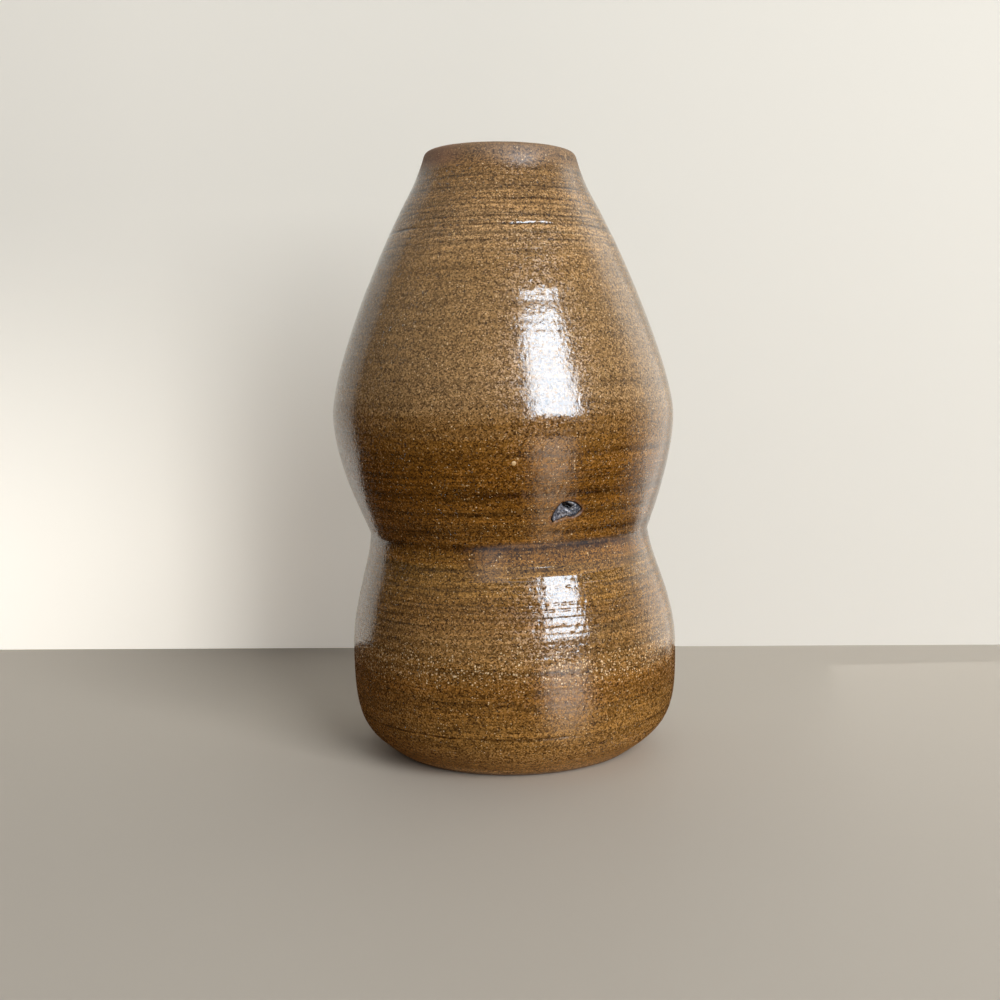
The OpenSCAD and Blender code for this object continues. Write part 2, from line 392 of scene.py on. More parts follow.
def insideLine(coat, cornerSteps=40, floorSteps=20):
    # The inside skin from the crest to the middle of the floor, coat behind the liner's surface
    floor, corner, bend = vaseForm["floor"], vaseForm["floorCorner"], vaseForm["handles"]["corner"]
    wall = []
    for point, normal in reversed(wallLine):
        inner = point - normal * (wallAt(point.y) - coat)
        if inner.y > floor + corner:
            wall.append((inner, -normal))
    start, before = wall[-1][0], wall[-2][0]
    drop = start.y - floor + coat
    turn = Vector((start.x, floor - coat))
    flat = turn - Vector((drop, 0))
    curve = (start, start + (start - before) * (bend * drop / (before.y - start.y)),
             turn - Vector(((1 - bend) * drop, 0)), flat)
    for k in range(1, cornerSteps + 1):
        point, normal = cubic(curve, k / cornerSteps)
        wall.append((point, -normal if normal.y < 0 else normal))
    for k in range(1, floorSteps + 1):
        wall.append((Vector((flat.x * (1 - k / floorSteps), flat.y)), Vector((0, 1))))
    return lipArc(lipRound - coat, math.pi / 2, math.pi + lipLean)[:-1] + wall


def pickRows(line, spacingAt):
    # Rows along a fine line, spacingAt(height) apart
    cost = [0.0]
    for (a, _), (b, _) in zip(line, line[1:]):
        cost.append(cost[-1] + (b - a).length / spacingAt((a.y + b.y) / 2))
    count = max(2, math.ceil(cost[-1]))
    rows, i = [], 0
    for k in range(count + 1):
        target = cost[-1] * k / count
        while i < len(cost) - 2 and cost[i + 1] < target:
            i += 1
        share = (target - cost[i]) / max(1e-9, cost[i + 1] - cost[i])
        normal = line[i][1].lerp(line[i + 1][1], share)
        rows.append((line[i][0].lerp(line[i + 1][0], share), normal.normalized()))
    return rows


def spacing(usual, atPit, atLine):
    marks = wheelMarks["valleys"] + wheelMarks["scratches"]
    fineMarks = [(m[0], closeRows["fineReach"] * m[2]) for m in marks if m[2] < closeRows["fine"]]

    def at(height):
        if abs(height - wheelLengths["Pit Height"]) < closeRows["nearPit"]:
            return atPit
        if height > lipCentre.y - closeRows["belowLip"]:
            return min(usual, closeRows["lip"])
        if any(abs(height - place) < reach for place, reach in fineMarks):
            return atLine
        return usual
    return at


def heaped(marks, height, which):
    # The marks felt at a height, by their depth or by their ink
    return sum(m[which] * math.exp(-((height - m[0]) / m[2]) ** 2) for m in marks)


def fingerDip(height):
    finger = wheelMarks["finger"]
    ease = wayUp(height, finger["from"], finger["from"] + finger["ease"])
    ease *= wayUp(-height, -finger["to"], finger["ease"] - finger["to"])
    return finger["depth"] * ease * abs(math.cos(math.pi * height / finger["pitch"])) ** 3


def outsideRows(line, spacings, shown):
    rows = []
    valleys, scratches, (start, end) = wheelMarks["valleys"], wheelMarks["scratches"], wheelMarks["swelling"]
    for point, normal in pickRows(line, spacing(*spacings)):
        height = point.y
        keep = (1 - wayUp(height, *wheelMarks["fadeBelowLip"])) * wayUp(height, *wheelMarks["fadeAboveFoot"])
        rows.append({
            "point": point, "facing": normal, "loose": keep, "outside": 1.0,
            "ring": -(fingerDip(height) + heaped(valleys, height, 1)) * keep,
            "scratch": -heaped(scratches, height, 1),
            "ringInk": heaped(valleys, height, 3), "scratchInk": heaped(scratches, height, 3),
            "swell": eased(wayUp(height, *start)) * (1 - eased(wayUp(height, *end))),
            "shown": shown,
        })
    return rows


def insideRows(line, usual, shown):
    rows, marks = [], wheelMarks["inside"]
    for point, normal in pickRows(line, lambda _: usual):
        along = point.y if normal.y < 0.9 else point.y + point.x
        keep = (1 - wayUp(point.y, *wheelMarks["fadeBelowLip"])) * wayUp(point.x, *wheelMarks["fadeAtMiddle"])
        wave = 0.5 - 0.5 * math.cos(2 * math.pi * along / marks["pitch"])
        rows.append({
            "point": point, "facing": normal, "ring": -marks["depth"] * wave * keep,
            "ringInk": marks["ink"] * wave * keep, "loose": keep, "shown": shown,
        })
    return rows


# Row attributes by name, with the unit that each is stored in
rowMarks = {"ring": mm, "scratch": mm}
rowMarks.update(dict.fromkeys(("ringInk", "scratchInk", "loose", "outside", "swell", "shown"), 1))


def profileObject(name, rows):
    # The rows as a line of vertices with their own attributes, ready to be thrown
    mesh = newMesh(name, [(r["point"].x * mm, 0, r["point"].y * mm) for r in rows],
                   [(k, k + 1) for k in range(len(rows) - 1)])
    pointValues(mesh, "facing", [Vector((r["facing"].x, 0, r["facing"].y)) for r in rows])
    for label, unit in rowMarks.items():
        pointValues(mesh, label, [r.get(label, 0.0) * unit for r in rows])
    return newObject(name, mesh)


# The wheel: a node tree that turns a profile into a wall, with its rings, its wander and its pit

def wheelTree():
    tree, given = newGroup("throwOnTheWheel", "GeometryNodeTree", {
        "Geometry": "Geometry", "Columns": 200, **wheelShares,
        "Pit Outline": "Object", "Material": "Material",
        **{name: value * mm for name, value in wheelLengths.items()},
        **{name: math.radians(value) for name, value in wheelAngles.items()},
    }, {"Geometry": "Geometry"})
    profile, pulls = given["Geometry"], wheelMarks["pulls"]
    rowCount = grow("GeometryNodeAttributeDomainSize", {"Geometry": profile}, component="MESH")["Point Count"]
    perRow = given["Columns"] + 1
    grid = grow("GeometryNodeMeshGrid", {
        "Size X": 1.0, "Size Y": 1.0, "Vertices X": rowCount, "Vertices Y": perRow})
    index = addNode(tree, "GeometryNodeInputIndex")
    row = calc("FLOOR", (index + 0.5) / perRow)
    column = index - row * perRow

    def fromProfile(value, kind="FLOAT"):
        return grow("GeometryNodeSampleIndex", {"Geometry": profile, "Index": row, "Value": value},
                    data_type=kind, domain="POINT")

    at = parts(fromProfile(addNode(tree, "GeometryNodeInputPosition"), "FLOAT_VECTOR"))
    out = parts(fromProfile(named(tree, "facing", "FLOAT_VECTOR"), "FLOAT_VECTOR"))
    ring, scratch, ringInk, scratchInk, loose, outside, swellShare, shown = (
        fromProfile(named(tree, name)) for name in rowMarks)

    # Columns lie closest together round the pit
    share = column / given["Columns"] - 0.5
    coarse = (1.0 - given["Fine Share"]) * (abs(share) ** 3.0 * 4.0)
    turned = share * given["Fine Share"] + coarse * calc("SIGN", share)
    fromPit = turned * (2 * math.pi)
    angle = fromPit + given["Pit Angle"]
    cosine, sine = calc("COSINE", angle), calc("SINE", angle)

    # A place on a plain cylinder, so that both skins of a coat wander alike
    around = triple(cosine * given["Wander Radius"], sine * given["Wander Radius"], at["Z"])

    def wander(name):
        perMetre, upright, detail, offset = wheelMarks["wanders"][name]
        spot = vectorCalc("MULTIPLY_ADD", around, (perMetre, perMetre, upright), offset)
        return cloud(spot, 1.0, detail) - 0.5

    slide = wander("slide") * 2.0 * given["Slide"] * loose
    uneven = wander("uneven") * 2.0 * given["Uneven"] * loose
    shaky = spread(wander("shaky"), *pulls["shaky"])
    ringPull = shaky * spread(wander("rings"), *pulls["rings"])
    scratchPull = shaky * spread(wander("scratches"), *pulls["scratches"])
    felt = spread(abs(fromPit), given["Felt Within"], given["Felt Within"] + given["Felt Fade"],
                  1.0, given["Felt Beyond"], smooth=True)
    beside = spread(abs(fromPit), 0.0, given["Swelling Reach"], given["Swelling"], 0.0, smooth=True)
    swollen = beside * (swellShare * outside)

    # The pit, measured on the wall laid flat: distance inside its outline is positive
    radius = at["X"] - out["Z"] * slide
    height = at["Z"] + out["X"] * slide
    laidFlat = triple(fromPit * radius, height - given["Pit Height"])
    patch = grow("GeometryNodeObjectInfo", {"Object": given["Pit Outline"]})["Geometry"]
    near = {0: patch, "Source Position": laidFlat}
    toFace, toEdge = (grow("GeometryNodeProximity", near, target_element=element)["Distance"]
                      for element in ("FACES", "EDGES"))
    signed = (toFace < 1e-6) * toEdge - toFace
    wallRun = given["Pit Wall"]
    sunk = spread(signed, wallRun * -0.4, wallRun, smooth=True)
    brim = spread(signed, given["Brim Run"] * -1.0, wallRun * -0.5, smooth=True)
    pitNow = (brim * given["Brim"] - sunk * (given["Pit Depth"] + given["Brim"])) * outside

    push = ring * ringPull * felt + scratch * scratchPull + (uneven + pitNow) + swollen
    offAxis = at["X"] > 1e-5
    radius = (radius + out["X"] * push) * offAxis
    height = height + out["Z"] * push

    # The whole wall leans with the hand-held axis, and its lip tips
    lean = grow("ShaderNodeFloatCurve", {"Value": calc("DIVIDE", height, given["Height"], clamp=True)})
    line = lean.node.mapping.curves[0]
    reach, tall = wheelLengths["Axis Reach"], vaseForm["height"]
    spots = [(h / tall, 0.5 + 0.5 * x / reach) for h, x in wheelMarks["axis"]]
    while len(line.points) < len(spots):
        line.points.new(0.5, 0.5)
    for point, spot in zip(line.points, spots):
        point.location = spot
    lean.node.mapping.update()
    flatX = radius * cosine
    tip = spread(height, given["Lip Tip From"], given["Height"])
    place = triple(flatX + (lean - 0.5) * 2.0 * given["Axis Reach"], radius * sine,
                   height - tip * flatX * given["Lip Tip"])

    made = grow("GeometryNodeSetPosition", {"Geometry": grid, "Position": place})
    # How dark the grooves are drawn: glaze pooled in them, and painted shade
    pooled = ringInk * ringPull + scratchInk * scratchPull
    for name, value in (("pooled", pooled), ("pitEdge", signed / mm), ("shown", shown)):
        made = grow("GeometryNodeStoreNamedAttribute", {"Geometry": made, "Name": name, "Value": value},
                    data_type="FLOAT", domain="POINT")
    made = grow("GeometryNodeMergeByDistance", {"Geometry": made, "Distance": 1e-6})
    return endPiece(tree, made, given["Material"])


def runTree(piece, tree, values):
    # Runs a tree on a piece and keeps the result as a plain mesh
    modifier = piece.modifiers.new(tree.name, "NODES")
    modifier.node_group = tree
    sockets = {s.name: s.identifier for s in tree.interface.items_tree}
    for name, value in values.items():
        modifier[sockets[name]] = value
    bpy.context.view_layer.update()
    made = bpy.data.meshes.new_from_object(piece.evaluated_get(bpy.context.evaluated_depsgraph_get()))
    piece.modifiers.clear()
    old, piece.data = piece.data, made
    bpy.data.meshes.remove(old)
    made.name = piece.name


def closeUp(piece, sharp=None):
    # Drops faces without area, points the faces outwards and marks the sharp edges
    mesh = piece.data
    work = bmesh.new()
    work.from_mesh(mesh)
    bmesh.ops.dissolve_degenerate(work, edges=work.edges, dist=1e-7)
    bmesh.ops.recalc_face_normals(work, faces=work.faces)
    openEdges = sum(1 for e in work.edges if not e.is_manifold)
    work.to_mesh(mesh)
    work.free()
    mesh.shade_smooth()
    if sharp:
        mesh.set_sharp_from_angle(angle=math.radians(sharp))
    triangles = sum(len(p.vertices) - 2 for p in mesh.polygons)
    print(f"{piece.name}: {triangles} triangles, {openEdges} open edges")
    return piece


def flatOutline(points, steps=6):
    # A smooth closed line through given points
    dense = []
    count = len(points)
    for k in range(count):
        a, b, c, d = (Vector(points[(k + j) % count]) for j in (-1, 0, 1, 2))
        for step in range(steps):
            t = step / steps
            dense.append(0.5 * ((2 * b) + (c - a) * t + (2 * a - 5 * b + 4 * c - d) * t * t
                                + (3 * b - a - 3 * c + d) * t ** 3))
    return dense


pitLine = flatOutline(wheelMarks["pit"])
pitOutline = newObject("pitOutline", newMesh(
    "pitOutline", [(p.x * mm, p.y * mm, 0) for p in pitLine], faces=[tuple(range(len(pitLine)))]))

throwTree = wheelTree()
print("wheel ready")


# Shared effects for the finishes, each a shader group that works on places in millimetres

def cells(place, scale):
    # A Voronoi pattern, and three even random numbers for each of its cells
    pattern = grow("ShaderNodeTexVoronoi", {"Vector": place, "Scale": scale}, feature="F1")
    return pattern["Distance"], grow("ShaderNodeSeparateColor", {0: pattern["Color"]})


def makeStreaks():
    # Bands that the wheel draws round a pot: long round it and short up it
    tree, given = newGroup("wheelStreaks", "ShaderNodeTree", {
        "Place": "Vector", "Around": 0.05, "Upright": 1.0, "Detail": 3.0, "Offset": 0.0}, {"Value": "Float"})
    stretch = triple(given["Around"], given["Around"], given["Upright"])
    spot = vectorCalc("MULTIPLY_ADD", given["Place"], stretch, given["Offset"])
    return endGroup(tree, {"Value": spread(cloud(spot, 1.0, given["Detail"], 0.6), 0.28, 0.72)})


def makeMottle():
    # Fine grain of a fired glaze: small crystals, each light or dark, over a softer mottle
    tree, given = newGroup("fireMottle", "ShaderNodeTree", {"Place": "Vector", "Scale": 1.4, "Crystals": 0.5},
                           {"Value": "Float", "Crystal": "Float", "Broad": "Float"})
    place, scale = given["Place"], given["Scale"]
    soft = spread(cloud(place, scale, 2.0, 0.65), 0.3, 0.7)
    broad = spread(cloud(place, scale * 0.06, 2.0), 0.3, 0.7)
    crystal = cells(place, scale * 2.0)[1]
    value = blendValues(given["Crystals"], soft, crystal)
    return endGroup(tree, {"Value": value, "Crystal": crystal, "Broad": broad})


def makeSprinkle():
    # Separate grains: a share of the cells of a Voronoi pattern, each a small rough spot
    tree, given = newGroup("sprinkle", "ShaderNodeTree", {
        "Place": "Vector", "Scale": 1.0, "Size": 0.3, "Share": 0.2, "Soft": 0.1,
    }, {"Mask": "Float", "Pick": "Float"})
    place, scale = given["Place"], given["Scale"]
    bent = vectorCalc("SUBTRACT", cloud(place, scale * 2.5, 1.0)["Color"], (0.5, 0.5, 0.5))
    distance, pick = cells(vectorCalc("ADD", place, scaled(bent, 0.5 / scale)), scale)
    size = given["Size"] * between(pick[1], 0.5, 1.2)
    spot = spread(distance, size, size - given["Soft"], smooth=True)
    return endGroup(tree, {"Mask": spot * (pick < given["Share"]), "Pick": pick[2]})


def makePeel():
    # The orange-peel skin of a thick glossy glaze
    tree, given = newGroup("orangePeel", "ShaderNodeTree", {"Place": "Vector", "Scale": 0.9, "Fine": 0.3},
                           {"Height": "Float"})
    place, scale = given["Place"], given["Scale"]
    fine = cloud(place, scale * 3.1, 2.0) * given["Fine"]
    return endGroup(tree, {"Height": cloud(place, scale, 1.0) + fine})


streaksGroup, mottleGroup, sprinkleGroup, peelGroup = makeStreaks(), makeMottle(), makeSprinkle(), makePeel()


def useGroup(group, place, **values):
    return grow("ShaderNodeGroup", {"Place": place, **values}, node_tree=group)


def newMaterial(name, constants, unit=mm):
    # A material, the inputs of its look, and the place on a piece in the unit
    material = bpy.data.materials.new(name)
    material.use_nodes = True
    tree = material.node_tree
    body = tree.nodes["Principled BSDF"].inputs
    plug(body, constants)
    return material, body, scaled(addNode(tree, "ShaderNodeTexCoord")["Object"], 1 / unit)


def attribute(place, name):
    return addNode(place.tree, "ShaderNodeAttribute", attribute_name=name)["Fac"]


def bumps(*layers):
    # Bumps one over the other, each a height and its distance in metres
    normal = None
    for height, distance in layers:
        normal = grow("ShaderNodeBump", {
            "Height": height, "Distance": distance, "Strength": 1.0, "Normal": normal})
    return normal


def byHeight(height, stops):
    # A colour for each height above the floor
    return ramp(height / vaseForm["height"], [(h / vaseForm["height"], color) for h, color in stops])


glazeFinish = {
    # Ground colour by height above the floor, and how far the streaks shift it. From the crease to under the
    # belly it is darker, which is painted shade, and at the foot's edge it is lighter, partly a paler edge
    # and partly painted light
    "zones": (
        (0.0, (0.6, 0.35, 0.125)), (3.0, (0.375, 0.19, 0.05)), (13.0, (0.19, 0.09, 0.019)),
        (17.0, (0.216, 0.103, 0.022)), (24.0, (0.18, 0.081, 0.0155)), (31.0, (0.162, 0.069, 0.0118)),
        (38.0, (0.182, 0.087, 0.02)), (47.0, (0.2, 0.103, 0.03)), (53.0, (0.17, 0.08, 0.019)),
        (66.0, (0.184, 0.089, 0.0175)), (71.0, (0.15, 0.063, 0.009)), (74.5, (0.138, 0.057, 0.0085)),
        (80.0, (0.15, 0.064, 0.0105)), (90.0, (0.132, 0.052, 0.006)), (99.0, (0.134, 0.053, 0.0062)),
        (107.0, (0.164, 0.072, 0.0122)), (120.0, (0.216, 0.12, 0.042)), (140.0, (0.201, 0.11, 0.036)),
        (152.0, (0.204, 0.112, 0.037)), (160.0, (0.196, 0.104, 0.031)), (172.0, (0.234, 0.132, 0.048)),
        (183.0, (0.213, 0.113, 0.036)), (191.0, (0.162, 0.081, 0.022)), (200.0, (0.15, 0.079, 0.026)),
    ),
    "zoneShift": 9.0,
    # Fades: by height, by X, by millimetres inside the pit's edge, or by radians round from the pit
    "fades": {
        "busyFrom": ("height", 30.0, 35.0), "busyTo": ("height", 46.0, 38.0), "lip": ("height", 196.8, 199.3),
        "redAcross": ("across", -11.0, -18.0), "redFrom": ("height", 192.5, 195.5),
        "inPit": ("pitEdge", -0.15, 0.35), "dullPit": ("pitEdge", -1.0, -0.2),
        "dullLip": ("height", 190.0, 197.5), "dullFoot": ("height", 14.0, 3.0),
        "dullFrom": ("shifted", 64.2, 65.4), "dullTo": ("height", 76.5, 74.0),
        "dullAside": ("aside", 0.75, 0.36),
    },
    # How strongly the wheel has drawn thin lines in the colour, by height
    "drawn": ((0.0, 0.4), (12.0, 0.5), (20.0, 0.75), (44.0, 0.85), (66.0, 1.0), (98.0, 1.0), (106.0, 0.25),
              (158.0, 0.25), (168.0, 1.0), (188.0, 1.0), (194.0, 0.4)),
    "streaks": {"Around": 0.022, "Upright": 0.45, "Detail": 5.0},
    "hairs": {"Around": 0.035, "Upright": 1.5, "Detail": 2.0, "Offset": 40.0},
    "streakShade": 0.24, "hairShade": 0.46, "broadShade": (0.9, 1.1),
    "fine": {"Scale": 1.25, "Crystals": 0.86}, "coarse": {"Scale": 0.55, "Crystals": 0.0},
    "dark": (0.12, 0.06, 0.0), "light": (2.45, 2.7, 3.3), "grainPower": 1.12,
    # Gold and cream grains, each with its share outside and inside the busy band
    "goldGrains": {"Scale": 1.6, "Size": 0.36, "Soft": 0.1}, "goldShare": (0.28, 0.7),
    "gold": (0.62, 0.42, 0.19),
    "creamGrains": {"Scale": 1.2, "Soft": 0.07}, "creamShare": (0.17, 0.62), "creamSize": (0.25, 0.38),
    "cream": (0.92, 0.72, 0.45), "creamCover": 0.9,
    # Grooves are darkened in colour: partly glaze pooled in them, partly painted shade
    "pool": (0.2, 0.15, 0.09), "poolCover": 0.9,
    # Inside the pit the glaze is painted near black as shade; round it is a rust stain
    "halo": (-1.5, -0.1), "rust": (0.3, 0.13, 0.075), "rustCover": 0.3, "pitFloor": (0.02, 0.014, 0.01),
    "lip": (0.23, 0.145, 0.075), "lipCover": 0.8, "lipRed": (0.36, 0.19, 0.125), "redCover": 0.4,
    # Roughness of the skin and of the crystals that break it, and of the bands that are duller
    "smooth": 0.06, "dry": 0.36, "dryAbove": (0.95, 0.7), "dryEdge": 0.04,
    "dullCrease": 0.95, "dullPit": 0.5, "dullLip": 0.68, "dullFoot": 0.38,
    # The relief: its stretch and its heights in metres
    "peelStretch": (0.95, 0.95, 0.72), "peelGroup": {"Scale": 0.9, "Fine": 0.35},
    "peel": 0.00007, "grain": 0.000008, "pits": 0.00004, "pitCrystals": (0.06, 0.03),
}


def glazeMaterial(name, tint=None):
    finish = glazeFinish
    material, body, place = newMaterial(name, {"IOR": 1.6})
    at = parts(place)
    height = at["Z"]
    streaks, hairs = (useGroup(streaksGroup, place, **finish[kind]) for kind in ("streaks", "hairs"))
    fine, coarse = (useGroup(mottleGroup, place, **finish[kind]) for kind in ("fine", "coarse"))
    pooled, pitEdge = attribute(place, "pooled"), attribute(place, "pitEdge")
    shifted = height + (streaks - 0.5) * finish["zoneShift"]
    pitWay = math.radians(wheelAngles["Pit Angle"])
    towardsPit = at["X"] * math.cos(pitWay) + at["Y"] * math.sin(pitWay)
    acrossPit = at["X"] * math.sin(pitWay) + at["Y"] * -math.cos(pitWay)
    by = {"height": height, "shifted": shifted, "across": at["X"], "pitEdge": pitEdge,
          "aside": abs(calc("ARCTAN2", acrossPit, towardsPit))}
    fades = {fade: spread(by[way], start, end) for fade, (way, start, end) in finish["fades"].items()}
    busy = fades["busyFrom"] * fades["busyTo"]
    gold = useGroup(sprinkleGroup, place, **finish["goldGrains"], Share=between(busy, *finish["goldShare"]))
    cream = useGroup(sprinkleGroup, place, **finish["creamGrains"], Size=between(busy, *finish["creamSize"]),
                     Share=between(busy, *finish["creamShare"]))

    # Ground: zones up the wall, with painted shade under the belly and painted light at the foot's edge,
    # shifted a little by the streaks and shaded by the wheel's lines
    wheelDrawn = byHeight(height, finish["drawn"])
    banded = between(streaks, -finish["streakShade"], finish["streakShade"]) * between(wheelDrawn, 0.45, 1.0)
    drawn = between(hairs, -finish["hairShade"], finish["hairShade"]) * wheelDrawn
    shade = (1.0 + banded + drawn) * between(coarse["Broad"], *finish["broadShade"])
    ground = vectorCalc("MULTIPLY", byHeight(shifted, finish["zones"]), shade)
    grain = fine["Value"] ** finish["grainPower"]
    color = tinted(ground, blendColors(grain, finish["dark"], finish["light"]))
    color = layered(color, (gold["Mask"] * between(gold["Pick"], 0.1, 0.9), finish["gold"]),
                    (cream["Mask"] * finish["creamCover"], finish["cream"]))
    # Darker grooves: glaze pooled in them, and painted groove shade
    pooledAndShadedShare = calc("MULTIPLY", pooled, finish["poolCover"], clamp=True)
    color = layered(color, (pooledAndShadedShare, tinted(color, finish["pool"])))

    # Iron has bled a rusty halo round the pit, the glaze inside the pit is painted near black as shade, and
    # the glaze breaks thin over the lip
    halo = spread(pitEdge, *finish["halo"], smooth=True) * spread(coarse["Value"], 0.2, 0.8)
    lip = fades["lip"] * between(streaks, 0.6, 1.0)
    redSide = fades["redAcross"] * fades["redFrom"]
    color = layered(
        color, (halo * finish["rustCover"], finish["rust"]), (fades["inPit"], finish["pitFloor"]),
        (lip * finish["lipCover"], finish["lip"]), (redSide * finish["redCover"], finish["lipRed"]))
    if tint:
        color = tinted(color, tint)

    # Roughness: dull crystals in a smooth skin, and bands that are duller
    veil = spread(coarse["Broad"], 0.2, 0.9, *finish["dryAbove"])
    dryShare = spread(fine["Crystal"], veil, veil + finish["dryEdge"])
    rough = blendValues(dryShare, finish["smooth"], finish["dry"])
    rough = blendValues(fades["dullFrom"] * fades["dullTo"] * fades["dullAside"], rough, finish["dullCrease"])
    for where in ("dullPit", "dullLip", "dullFoot"):
        rough = blendValues(fades[where], rough, finish[where])
    peel = useGroup(peelGroup, vectorCalc("MULTIPLY", place, finish["peelStretch"]), **finish["peelGroup"])
    plug(body, {"Base Color": color, "Roughness": rough, "Normal": bumps(
        (peel, finish["peel"]), (fine["Value"], finish["grain"]),
        (spread(fine["Crystal"], *finish["pitCrystals"]), -finish["pits"]))})
    return material


clayFinish = {
    "fine": {"Scale": 1.8, "Crystals": 0.3}, "grog": {"Scale": 0.8, "Size": 0.34, "Share": 0.3, "Soft": 0.1},
    "iron": {"Scale": 0.5, "Size": 0.22, "Share": 0.3, "Soft": 0.1}, "ringsPerMm": 1.6,
    "dark": (0.26, 0.155, 0.082), "light": (0.44, 0.3, 0.175), "toasted": (0.42, 0.22, 0.11),
    "grogColor": (0.66, 0.55, 0.4), "ironColor": (0.06, 0.035, 0.025), "turned": (0.6, 0.56, 0.52),
    "rough": (0.72, 0.9), "ringHigh": 0.00025, "grainHigh": 0.00006,
}


def clayMaterial():
    finish = clayFinish
    material, body, place = newMaterial("firedClay", {"IOR": 1.45})
    at = parts(place)
    fromAxis = vectorCalc("LENGTH", triple(at["X"], at["Y"]))["Value"]
    rings = grow("ShaderNodeTexNoise", {"W": fromAxis * finish["ringsPerMm"], "Scale": 1.0, "Detail": 3.0},
                 noise_dimensions="1D")
    fine = useGroup(mottleGroup, place, **finish["fine"])
    grog, iron = (useGroup(sprinkleGroup, place, **finish[kind])["Mask"] for kind in ("grog", "iron"))
    color = layered(
        blendColors(fine["Value"], finish["dark"], finish["light"]),
        (fine["Broad"] * 0.45, finish["toasted"]), (grog * 0.7, finish["grogColor"]),
        (iron * 0.8, finish["ironColor"]))
    color = layered(color, (spread(rings, 0.35, 0.65, 0.0, 0.35), tinted(color, finish["turned"])))
    plug(body, {
        "Base Color": color, "Roughness": between(fine["Value"], *finish["rough"]),
        "Normal": bumps((rings, finish["ringHigh"]), (fine["Value"] + grog, finish["grainHigh"])),
    })
    return material


slagFinish = {
    "fine": {"Scale": 1.0, "Crystals": 0.75}, "broad": {"Scale": 0.9, "Crystals": 0.0},
    "paleAcross": (20.0, 15.5),
    "dark": (0.1, 0.115, 0.14), "pale": (0.22, 0.22, 0.25), "patches": (0.018, 0.02, 0.03),
    # The hole colour is painted shade in the blowhole
    "glints": (0.6, 0.58, 0.59), "edge": (0.012, 0.01, 0.012), "hole": (0.001, 0.001, 0.002),
    "metal": (0.25, 0.6), "rough": (0.36, 0.66), "roughEdge": 0.85, "roughHole": 0.1, "grainHigh": 0.00012,
}


def slagMaterial():
    finish = slagFinish
    material, body, place = newMaterial("meltedIron", {"IOR": 1.25})
    sunk, edge = attribute(place, "sunk"), attribute(place, "edge")
    fine, broad = (useGroup(mottleGroup, place, **finish[kind])["Value"] for kind in ("fine", "broad"))
    color = blendColors(spread(parts(place)["X"], *finish["paleAcross"]), finish["dark"], finish["pale"])
    # The blowhole is painted near black as shade
    color = layered(
        color, (spread(broad, 0.35, 0.8, 0.0, 0.85), finish["patches"]),
        (spread(fine, 0.5, 0.95, 0.0, 0.85), finish["glints"]), (spread(edge, 0.84, 0.98), finish["edge"]),
        (spread(sunk, 0.2, 0.8), finish["hole"]))
    rough = blendValues(spread(edge, 0.45, 0.8), between(fine, *finish["rough"]), finish["roughEdge"])
    plug(body, {
        "Base Color": color, "Roughness": blendValues(spread(sunk, 0.3, 0.8), rough, finish["roughHole"]),
        "Metallic": blendValues(spread(sunk, 0.2, 0.6), between(broad, *finish["metal"]), 0.0),
        "Normal": bumps((fine, finish["grainHigh"])),
    })
    return material


grainFinish = {
    "tone": {"Scale": 0.45, "Crystals": 0.0}, "fine": {"Scale": 4.0, "Crystals": 0.3},
    "dark": (0.5, 0.31, 0.12), "pale": (0.78, 0.56, 0.29), "specks": (0.4, 0.24, 0.1),
    "rough": (0.4, 0.7), "grainHigh": 0.00003,
}


def grainMaterial():
    finish = grainFinish
    material, body, place = newMaterial("paleGrain", {"IOR": 1.5})
    tone, fine = (useGroup(mottleGroup, place, **finish[kind])["Value"] for kind in ("tone", "fine"))
    color = layered(blendColors(tone, finish["dark"], finish["pale"]), (fine * 0.35, finish["specks"]))
    plug(body, {"Base Color": color, "Roughness": between(fine, *finish["rough"]),
                "Normal": bumps((fine, finish["grainHigh"]))})
    return material


brownGlaze = glazeMaterial("brownGlaze")
linerGlaze = glazeMaterial("linerGlaze", tint=(0.8, 0.78, 0.8))
bareClay, slagSkin, grainSkin = clayMaterial(), slagMaterial(), grainMaterial()
print("finishes ready")


# The thrown pieces. Rows are so far apart: usually, at the pit and at a fine mark

def throw(name, rows, settings, material):
    piece = profileObject(name, rows)
    runTree(piece, throwTree, {
        "Columns": settings["columns"], "Pit Outline": pitOutline, "Material": material})
    return closeUp(piece, settings["sharp"])


coat, liner = vaseForm["glaze"], vaseForm["liner"]
coatSettings = {"skin": (0.76, 0.3, 0.29), "back": (6.0, 0.8, 6.0), "columns": 200, "sharp": 50}
coatSkin = outsideRows(outsideLine(0), coatSettings["skin"], 1.0)
coatBack = outsideRows(outsideLine(coat, thinned=True), coatSettings["back"], 0.0)
glazeCoat = throw("glazeCoat", coatSkin + coatBack[::-1], coatSettings, brownGlaze)


def radiusAt(height):
    for (a, _), (b, _) in zip(wallLine, wallLine[1:]):
        if a.y <= height <= b.y:
            return a.x + (b.x - a.x) * (height - a.y) / (b.y - a.y)
    return wallLine[-1][0].x


def underRows(usual):
    # The foot from the middle of its hollow to the glaze line
    form, marks = vaseForm, wheelMarks["under"]
    ringInside = form["footRadius"] - form["footRing"]
    bevel, hollow = form["footBevel"], form["footHollow"]
    slant = (hollow - bevel) * math.tan(math.radians(form["footHollowLean"]))
    corners = [Vector(p) for p in (
        (0, hollow), (ringInside - slant, hollow), (ringInside, bevel), (ringInside + bevel, 0),
        (form["footRadius"] - bevel, 0),
        (radiusAt(bevel), bevel), (radiusAt(form["glazeLine"]), form["glazeLine"]))]
    rows = []
    for a, b in zip(corners, corners[1:]):
        steps = max(1, round((b - a).length / usual))
        for k in range(steps):
            point = a.lerp(b, k / steps)
            onHollow = a.y == hollow and b.y == hollow and k > 0
            wave = 0.5 + 0.5 * math.cos(2 * math.pi * point.x / marks["pitch"])
            rows.append({
                "point": point, "facing": Vector((0, -1)), "shown": 1.0,
                "ring": -marks["depth"] * wave if onHollow else 0.0,
            })
    return rows


